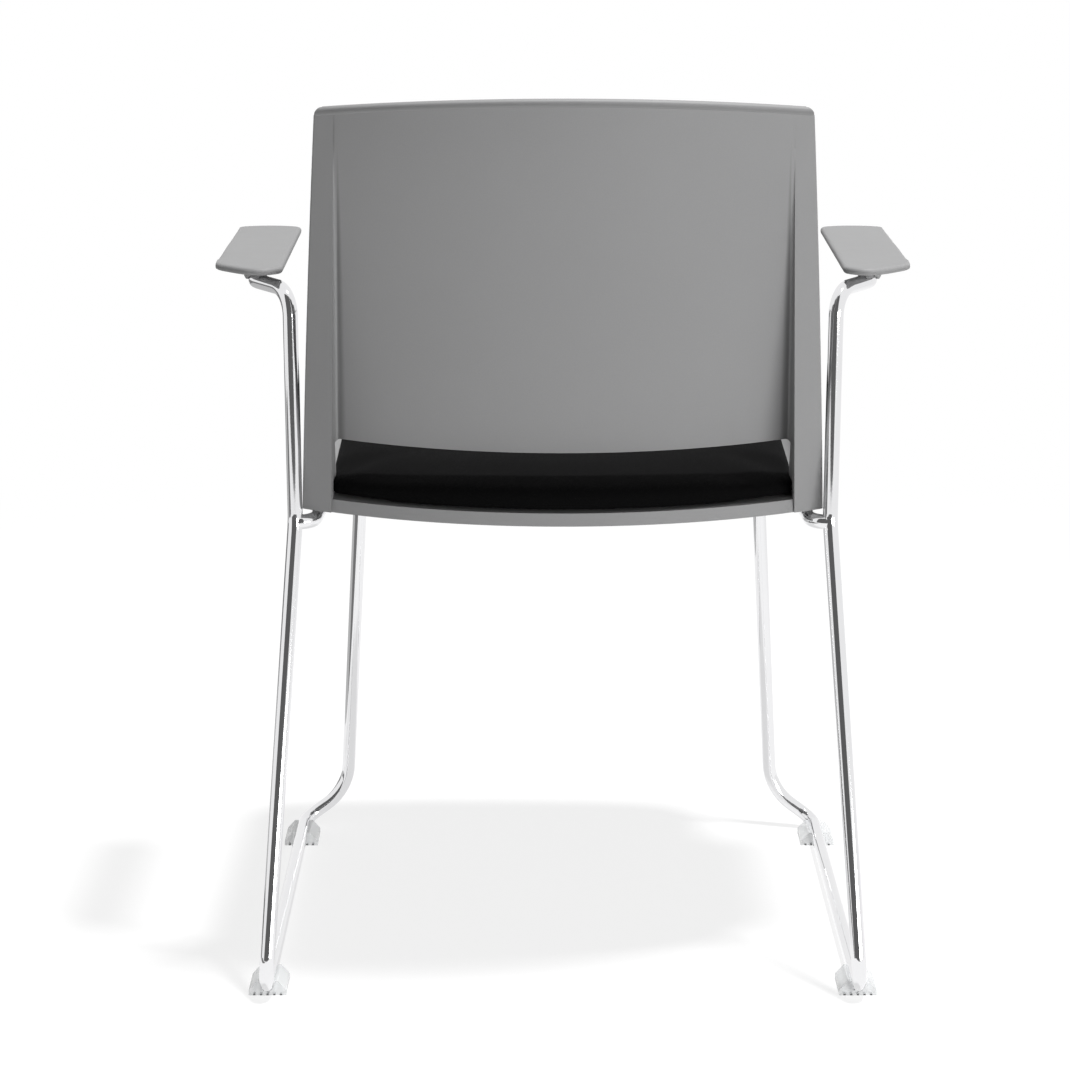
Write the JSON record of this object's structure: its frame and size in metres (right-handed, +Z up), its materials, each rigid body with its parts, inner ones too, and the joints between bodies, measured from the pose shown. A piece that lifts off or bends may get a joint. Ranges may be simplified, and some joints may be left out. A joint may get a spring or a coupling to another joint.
{
  "type": "visitor chair",
  "caption": "Sled-base armchair: a one-piece plastic seat-and-back shell with a lumbar opening and an upholstered pad, carried on bent rod side frames with flat arm pads.",
  "frame": {"origin": "on the floor under the middle of the chair's bounding box", "axes": "+Z up, +Y towards the back of the chair, +X towards the sitter's left"},
  "size_m": [0.6496, 0.5695, 0.8315],
  "materials": {
    "grey_plastic": "fine matt moulded texture",
    "black_fabric": "plain close weave",
    "foam": "open-cell foam, hidden",
    "plywood": "raw birch plywood, hidden",
    "chrome": "bright chrome plating",
    "zinc_steel": "zinc plated",
    "brass": "machined, hidden",
    "clear_plastic": "clear moulded, lightly frosted"
  },
  "bodies": {
    "root": {"shell": "grey_plastic", "left_arm_pad": "grey_plastic", "right_arm_pad": "grey_plastic", "seat_cover": "black_fabric", "seat_foam": "foam", "seat_board": "plywood", "seat_tee_nuts": "zinc_steel", "seat_screws": "zinc_steel", "frame_screws": "zinc_steel", "frame_washers": "zinc_steel", "left_arm_screws": "zinc_steel", "right_arm_screws": "zinc_steel", "shell_inserts": "brass", "left_side_rod": "chrome", "right_side_rod": "chrome", "front_cross_bar": "chrome", "rear_cross_bar": "chrome", "left_rear_plate": "chrome", "right_rear_plate": "chrome", "left_front_plate": "chrome", "right_front_plate": "chrome", "left_rear_glide": "clear_plastic", "right_rear_glide": "clear_plastic", "left_front_glide": "clear_plastic", "right_front_glide": "clear_plastic"}
  },
  "joints": []
}
